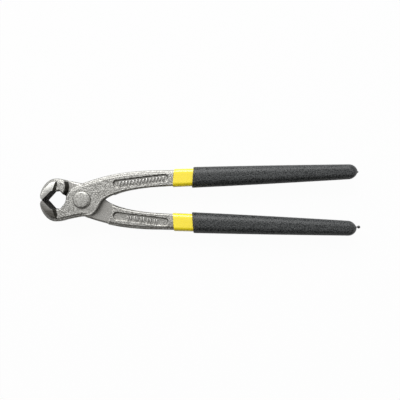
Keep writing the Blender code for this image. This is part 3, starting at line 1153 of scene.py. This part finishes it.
    def is_milled(self, face: Face) -> bool:
        """Whether a face belongs to the milled lap."""
        return abs(face.center.z) < self.milled_reach and face.normal.z < -FACING

    def is_root_wall(self, face: Face) -> bool:
        """Whether a face belongs to the seat's wall that rises to the neck.

        Args:
            face: the face.

        Returns:
            Whether it does.
        """
        middle = face.center
        away = (middle.to_2d() - Vector((self.root_x, self.root_y))).length
        wall = self.root_radius - math.tan(self.seat_draft) * abs(middle.z)
        beside = abs(away - wall) < self.root_reach and face.normal.z > -self.root_rise
        low, high = self.root_span
        return beside and middle.y > -self.root_limit and low < middle.z < high

    def is_lap_wall(self, face: Face) -> bool:
        """Whether a face belongs to the wall that stands over the other half's seat, which gets
        painted shade.

        Args:
            face: the face.

        Returns:
            Whether it does.
        """
        middle, upright = face.center, abs(face.normal.z) < self.lap_shade_upright
        from_end = min(middle.x - self.lap_shade_start, self.lap_shade_end - middle.x)
        under = upright and 2 * HAIR < middle.z < from_end * self.lap_shade_rise
        return under and middle.y < self.lap_shade_y and middle.length > self.seat_hole

    def build(self) -> Object:
        """Model the forging from the front lever's solid and paint it.

        Returns:
            The forging, its mid-plane at z = 0.
        """
        forging = merged_copy("front_lever", "forging")
        forging.data.transform(Matrix.Translation((0, 0, -MID_Z)))
        core = own_copy(forging, "handle_core")
        cut_away(core, (self.core_cut - self.core_lap, 0, 0), (-1, 0, 0))
        cut_away(forging, (self.core_cut, 0, 0), (1, 0, 0))
        cut_away(forging, (-self.neck_cut, 0, 0), (-1, 0, 0))
        edit(forging)
        select_where(forging, "faces", self.is_neck_cut)
        extrude((-self.neck_bury, 0, 0))
        leave_edit()
        waves = lumpy("forging_waves", self.wave_length, self.wave_height, level=1.0)
        modify(forging, even_faces(self.voxel), relaxed(times=4), waves)
        self.straighten_seat(forging)
        modify(forging, even_faces(self.voxel), relaxed(times=1))
        self.shape_faces(forging)
        forging = join([forging, core])
        paint(forging, *LEVER_LOOKS)
        leans, least = self.arm.panel_lean, self.lean_least
        paint_faces(forging, Look.MILLED_AND_HIGHLIGHT, self.is_milled)
        # Painted shade on the seat's wall that rises to the neck.
        paint_faces(forging, Look.SCALE, self.is_root_wall)
        # Painted shade on the wall that stands over the other half's seat.
        paint_faces(forging, Look.SOFT_SHADE, self.is_lap_wall)
        # Painted shade on the panels' walls that face away from the light, and painted highlight
        # on the walls that face it.
        paint_faces(forging, Look.SOFT_SHADE, lambda face: leans(face) < -least)
        paint_faces(forging, Look.MILLED_AND_HIGHLIGHT, lambda face: leans(face) > least)
        shade(forging, degrees=60)
        return forging


@dataclass
class Levers:
    """Both levers: one forging with its jaw, and the same turned over."""

    jaw: Jaw
    forging: Forging

    def build(self) -> None:
        """Model and paint both levers and fix each to its body."""
        jaw = self.jaw.build()
        forging = self.forging.build()
        for half in Half:
            lever = join([own_copy(forging, f"{half.value}_forging"), own_copy(jaw, "jaw")])
            lever.data.transform(half.place)
            hand_in(lever, half, "forged_steel", f"{half.value}_lever")
        bpy.data.objects.remove(jaw)
        bpy.data.objects.remove(forging)


# The rivet


@dataclass
class Rivet:
    """The pivot rivet: a shank with a broad, slightly domed head on each side."""

    head_radius: float = 0.0061
    head_top: float = 0.0080
    head_under: float = 0.0062
    edge_round: float = 0.0009
    edge_fall: float = 0.0003
    skirt: float = 0.0012
    crease: float = 0.00006
    dome: float = 0.00018
    dome_curve: tuple[Pair, ...] = ((0.0, 0.0), (0.45, 0.2), (0.75, 0.55))
    shank_radius: float = 0.0038
    seed_size: float = 0.001
    turn_steps: int = 96

    def build(self) -> None:
        """Spin the rivet's profile and fix the rivet to its body."""
        radius, shoulder = self.head_radius, self.head_radius - self.skirt
        top, rim = self.head_top, self.head_top - self.dome
        upper = [(shoulder * out, top - self.dome * down) for out, down in self.dome_curve]
        upper += [
            (shoulder - HAIR, rim),
            (shoulder, rim - self.crease),
            (radius - HAIR, rim - self.edge_round),
            (radius, rim - self.edge_round - self.edge_fall),
            (radius, self.head_under),
            (self.shank_radius, self.head_under),
        ]
        profile = upper + [(r, -z) for r, z in reversed(upper)]
        bpy.ops.mesh.primitive_plane_add(size=self.seed_size, location=(0, 0, top))
        rivet = name_new("rivet")
        edit(rivet, "SELECT", "VERT")
        bpy.ops.mesh.merge(type="CENTER")
        select_all()
        for here, after in zip(profile, profile[1:]):
            step = (after[0] - here[0], 0, after[1] - here[1])
            bpy.ops.mesh.extrude_vertices_move(TRANSFORM_OT_translate={"value": step})
        select_all()
        bpy.ops.mesh.spin(
            steps=self.turn_steps, angle=4 * QUARTER_TURN, center=(0, 0, 0), axis=(0, 0, 1)
        )
        select_all()
        bpy.ops.mesh.remove_doubles(threshold=MERGE)
        close_edit()
        rivet.data.transform(Matrix.Translation((0, 0, MID_Z)))
        paint(rivet, Look.RIVET)
        shade(rivet, degrees=24)
        hand_in(rivet, Half.REAR, "rivet_steel", "pivot_rivet")


# The dipped handles


@dataclass
class DipCoat:
    """A dip coat on the handle: a smooth skin that closes over the handle's end."""

    node: str
    look: Look
    start_x: float
    offset: float
    voxel: float
    roundness: float
    lump: float = 0.0
    lump_spacing: float = 0.0011
    lump_level: float = 0.55
    dip_tilt: float = math.radians(4.5)
    dip_lead: float = 0.003
    handle_start_x: float = 0.0615
    handle_end_x: float = 0.1882
    handle_start_y: float = 0.01545
    splay: float = math.radians(2.05)
    start_width: float = 0.0113
    end_width: float = 0.0068
    swell: float = 0.0005
    start_half_thickness: float = 0.0043
    end_half_thickness: float = 0.0033
    reach: float = 0.1916
    point: float = 0.0007
    end_fall: float = 1.9
    end_fullness: float = 0.66
    end_least: float = 0.001
    stations: int = 12
    end_steps: int = 9
    corner_steps: int = 8
    rear_short: float = 0.0007
    rear_from: float = 0.006

    def width(self, x: float) -> float:
        """The coat's width at a place along X.

        Args:
            x: the place.

        Returns:
            The width.
        """
        share = (x - self.handle_start_x) / (self.handle_end_x - self.handle_start_x)
        width = self.start_width + (self.end_width - self.start_width) * share
        return width + self.swell * 4 * share * (1 - share) + 2 * self.offset

    def thickness(self, x: float) -> float:
        """The coat's thickness at a place along X.

        Args:
            x: the place.

        Returns:
            The thickness.
        """
        share = (x - self.handle_start_x) / (self.reach - self.handle_start_x)
        taper = self.end_half_thickness - self.start_half_thickness
        return 2 * (self.start_half_thickness + taper * share + self.offset)

    def middle(self, x: float) -> float:
        """The coat's middle across the tool at a place along X."""
        return self.handle_start_y + math.tan(self.splay) * (x - self.handle_start_x)

    def section(self, x: float, share: float) -> Section:
        """The skin's section at a place along X, with a share of its full size."""
        at = min(x, self.handle_end_x)
        return x, self.middle(x), self.width(at) * share, self.thickness(at) * share

    def build_skin(self) -> Object:
        """Pull the coat's section along the handle and close it over the end.

        Returns:
            The closed skin, its mid-plane at z = 0.
        """
        x = self.start_x - self.dip_lead
        wide, thick = self.width(x), self.thickness(x)
        bpy.ops.mesh.primitive_plane_add(
            size=1, location=(x, self.middle(x), 0), rotation=(0, QUARTER_TURN, 0)
        )
        bpy.context.object.scale = (thick, wide, 1)
        coat = name_new(self.node)
        edit(coat, "SELECT", "VERT")
        corner = thick * self.roundness
        bpy.ops.mesh.bevel(
            offset=corner, affect="VERTICES", segments=self.corner_steps, profile=0.5
        )
        bpy.ops.mesh.select_mode(type="FACE")
        select_all()
        length, steps = self.handle_end_x - x, range(self.stations + 1)
        sections = [self.section(x + length * i / self.stations, 1.0) for i in steps]
        tip = self.end_width / 2 + self.offset + self.point
        for i in range(1, self.end_steps + 1):
            along = math.sin(QUARTER_TURN * i / self.end_steps)
            shrink = max(1 - along**self.end_fall, self.end_least) ** self.end_fullness
            sections.append(self.section(self.handle_end_x + tip * along, shrink))
        pull(sections)
        close_edit()
        outwards = (-math.cos(self.dip_tilt), math.sin(self.dip_tilt), 0)
        cut_away(coat, (self.start_x, self.middle(self.start_x), 0), outwards)
        return coat

    def build(self) -> None:
        """Model and paint the coats of both handles and fix each to its body."""
        coat = self.build_skin()
        modify(coat, even_faces(self.voxel), relaxed(times=5))
        if self.lump:
            name = f"{self.node}_lumps"
            modify(coat, lumpy(name, self.lump_spacing, self.lump, self.lump_level))
        paint(coat, self.look)
        shade(coat, degrees=80)
        for half in Half:
            piece = own_copy(coat, f"{half.value}_{self.node}_skin")
            if half is Half.REAR:
                start = self.handle_end_x - self.rear_from
                for point in piece.data.vertices:
                    point.co.x -= self.rear_short * smoothstep(point.co.x, start, self.reach)
            piece.data.transform(half.place)
            hand_in(piece, half, self.look.value.name, f"{half.value}_{self.node}")
        bpy.data.objects.remove(coat)


@dataclass
class DripEnd:
    """A drip that set on a grip's end, turned about a line along X."""

    name: str
    half: Half
    y: float
    steps: tuple[Pair, ...]
    corners: int = 20
    rounding: int = 2

    def build(self) -> None:
        """Pull a round section out along the drip and fix it to its body."""
        x, radius = self.steps[0]
        bpy.ops.mesh.primitive_circle_add(
            vertices=self.corners, radius=radius, fill_type="NGON",
            location=(x, self.y, 0), rotation=(0, QUARTER_TURN, 0),
        )
        drip = name_new(self.name)
        edit(drip, "SELECT")
        pull([(x, self.y, radius, radius) for x, radius in self.steps])
        close_edit()
        modify(drip, ("SUBSURF", {"levels": self.rounding, "render_levels": self.rounding}))
        drip.data.transform(self.half.place)
        paint(drip, Look.BLACK)
        shade(drip, degrees=80)
        hand_in(drip, self.half, "black_grip")


@dataclass
class PanelMarks:
    """A plain row of slanted raised bars on the floor of an arm's panel."""

    half: Half
    groups: int
    bars: int
    pitch: float
    bar_pitch: float
    bar_width: float
    bar_height: float
    shift: float
    rise: float = 0.0013
    slant: float = 0.0007
    taper: Point = (0.80, 0.90, 1.0)
    edge: float = 0.00019
    side_rise: float = 0.6

    def build_bar(self) -> Object:
        """Model one bar: a slab with slanted ends and broken edges.

        Returns:
            The bar, standing on z = 0.
        """
        bpy.ops.mesh.primitive_plane_add(size=1)
        bpy.context.object.scale = (self.bar_width, self.bar_height, 1)
        bar = name_new("bar")
        edit(bar, "SELECT")
        extrude((0, 0, self.rise))
        resize(self.taper, (0, 0, self.rise))
        bpy.ops.mesh.select_mode(type="VERT")
        bpy.ops.mesh.select_all(action="DESELECT")
        select_where(bar, "verts", lambda corner: corner.co.y > 0)
        bpy.ops.transform.translate(value=(self.slant, 0, 0))
        select_all()
        bpy.ops.mesh.normals_make_consistent(inside=False)
        bpy.ops.mesh.bevel(offset=self.edge, segments=2, affect="EDGES")
        leave_edit()
        return bar

    def build(self, arm: Arm) -> None:
        """Copy the bar along the panel, lay the row on its floor and fix it to its body.

        Args:
            arm: the arm whose panel the row lies in.
        """
        bar = self.build_bar()
        row = []
        for group in range(self.groups):
            start = (group - (self.groups - 1) / 2) * self.pitch
            for step in range(self.bars):
                x = start + (step - (self.bars - 1) / 2) * self.bar_pitch
                row.append(own_copy(bar, f"{self.half.value}_panel_marks"))
                row[-1].data.transform(Matrix.Translation((x + self.shift, 0, 0)))
        bpy.data.objects.remove(bar)
        marks = join(row)
        sign = 1 if self.half is Half.FRONT else -1
        if sign < 0:
            marks.data.transform(Matrix.Diagonal((1, -1, 1, 1)))
            marks.data.flip_normals()
        slope = math.atan2(arm.start_half - arm.end_half, arm.end - arm.start)
        floor = arm.half_thickness(arm.panel_x) - arm.panel_depth - HAIR
        place = Matrix.Translation((arm.panel_x, sign * arm.panel_y, MID_Z + floor))
        turn = Matrix.Rotation(slope, 4, "Y") @ Matrix.Rotation(sign * arm.panel_tilt, 4, "Z")
        marks.data.transform(place @ turn)
        # The bars' tops are rubbed bright; their sides get painted shade.
        paint(marks, Look.RUBBED, Look.SOFT_SHADE)
        paint_faces(marks, Look.SOFT_SHADE, lambda face: abs(face.normal.z) < self.side_rise)
        shade(marks, degrees=50)
        hand_in(marks, self.half, "forged_steel")


# Studio


@dataclass(frozen=True)
class Studio:
    """A pale floor, a soft sky, one large lamp on the far side, and the camera."""

    camera_x: float = 0.08255
    camera_z: float = 0.3580
    camera_near: float = 0.01
    lens: float = 44.43
    sensor: float = 36.0
    floor_z: float = -0.0002
    floor_size: float = 6.0
    floor_strips: int = 4
    floor_color: Color = (0.62, 0.62, 0.62)
    floor_roughness: float = 0.9
    floor_seen: float = 0.965
    floor_mirrored: float = 0.09
    sky_glow: Color = (1.0, 0.86, 0.70)
    lamp_place: Point = (-0.20, 0.95, 0.74)
    lamp_width: float = 1.6
    lamp_height: float = 0.70
    lamp_energy: float = 18.0

    def build_camera(self) -> None:
        """Put the camera straight above the tool's middle."""
        data = bpy.data.cameras.new("camera")
        data.lens = self.lens
        data.sensor_width = self.sensor
        data.clip_start = self.camera_near
        camera = link_new("camera", data)
        camera.location = (self.camera_x, 0, self.camera_z)
        bpy.context.scene.camera = camera

    def build_floor(self) -> None:
        """Lay a pale floor that keeps a faint shadow."""
        bpy.ops.mesh.primitive_grid_add(
            x_subdivisions=self.floor_strips, y_subdivisions=self.floor_strips,
            size=self.floor_size, location=(self.camera_x, 0, self.floor_z),
        )
        floor = name_new("floor")
        material = bpy.data.materials.new("floor")
        material.use_nodes = True
        tree = Tree(material.node_tree)
        shader = material.node_tree.nodes["Principled BSDF"]
        tree.feed(shader, Base_Color=self.floor_color, Roughness=self.floor_roughness)
        glow = tree.add("ShaderNodeEmission")
        rays = tree.add("ShaderNodeLightPath")
        seen = tree.math("MULTIPLY", tree.seen(rays), self.floor_seen)
        mirrored = tree.math("MULTIPLY", rays.outputs["Is Glossy Ray"], self.floor_mirrored)
        mix = tree.add("ShaderNodeMixShader")
        share = tree.math("ADD", seen, mirrored)
        tree.fill(mix, [0, 1, 2], (share, shader.outputs[0], glow.outputs[0]))
        tree.feed(material.node_tree.nodes["Material Output"], Surface=mix.outputs[0])
        floor.data.materials.append(material)

    def build_world(self) -> None:
        """Surround the tool with a soft sky that is brighter on the far side."""
        world = bpy.data.worlds.new("studio")
        world.use_nodes = True
        bpy.context.scene.world = world
        tree = Tree(world.node_tree)
        split = tree.add("ShaderNodeSeparateXYZ")
        tree.feed(split, Vector=tree.add("ShaderNodeTexCoord").outputs["Generated"])
        across = split.outputs["Y"]
        near = tree.spread(across, start=-0.70, end=0.12, low=0.02, high=0.74)
        far = tree.spread(across, start=0.35, end=0.95, low=0.0, high=-0.25)
        seen = tree.seen(tree.add("ShaderNodeLightPath"))
        level = tree.add("ShaderNodeMix", data_type="FLOAT")
        tree.fill(level, [0, 2, 3], (seen, tree.math("ADD", near, far), 1.0))
        lit = tree.mix(tree.spread(across, start=-0.15, end=-0.7), WHITE, self.sky_glow)
        back = world.node_tree.nodes["Background"]
        tree.feed(back, Color=tree.mix(seen, lit, WHITE), Strength=level.outputs[0])

    def build_lamp(self) -> None:
        """Hang one large soft lamp on the far side."""
        data = bpy.data.lights.new("softbox", "AREA")
        data.shape = "RECTANGLE"
        data.size = self.lamp_width
        data.size_y = self.lamp_height
        data.energy = self.lamp_energy
        lamp = link_new("softbox", data)
        lamp.location = self.lamp_place
        aim = Vector((self.camera_x, 0, 0)) - Vector(self.lamp_place)
        lamp.rotation_euler = aim.to_track_quat("-Z", "Y").to_euler()

    def build(self) -> None:
        """Build the whole studio."""
        self.build_camera()
        self.build_floor()
        self.build_world()
        self.build_lamp()
        bpy.context.scene.view_settings.view_transform = "Standard"


def main() -> None:
    """Build the studio and the tool's pieces in order."""
    logging.basicConfig(level=logging.INFO, format="%(name)s %(message)s")
    Studio().build()
    effects = Effects()
    MATERIALS.update({look: look.value.material(effects) for look in Look})
    arm = Arm()
    Levers(Jaw(), Forging(arm)).build()
    Rivet().build()
    DipCoat(
        node="undercoat", look=Look.YELLOW,
        start_x=0.0638, offset=0.0007, voxel=0.00030, roundness=0.30,
    ).build()
    DipCoat(
        node="grip", look=Look.BLACK,
        start_x=0.0774, offset=0.0019, voxel=0.00040, roundness=0.47, lump=0.00012,
    ).build()
    DripEnd(
        name="front_drip_tip", half=Half.FRONT, y=0.01987,
        steps=(
            (0.1925, 0.0016), (0.1935, 0.0011), (0.1941, 0.0007), (0.1946, 0.0005),
            (0.1949, 0.0002),
        ),
    ).build()
    DripEnd(
        name="rear_drip_ball", half=Half.REAR, y=0.01917,
        steps=(
            (0.1920, 0.0016), (0.1928, 0.0007), (0.1934, 0.00032), (0.1939, 0.00034),
            (0.1943, 0.0009), (0.1949, 0.00118), (0.1955, 0.0010), (0.1960, 0.0005),
            (0.1962, 0.0002),
        ),
    ).build()
    PanelMarks(
        half=Half.FRONT, groups=14, bars=1, pitch=0.00235, bar_pitch=0.0,
        bar_width=0.00125, bar_height=0.0030, shift=0.0001,
    ).build(arm)
    PanelMarks(
        half=Half.REAR, groups=5, bars=2, pitch=0.0046, bar_pitch=0.0017,
        bar_width=0.00115, bar_height=0.0028, shift=0.0008,
    ).build(arm)


if __name__ == "__main__":
    main()
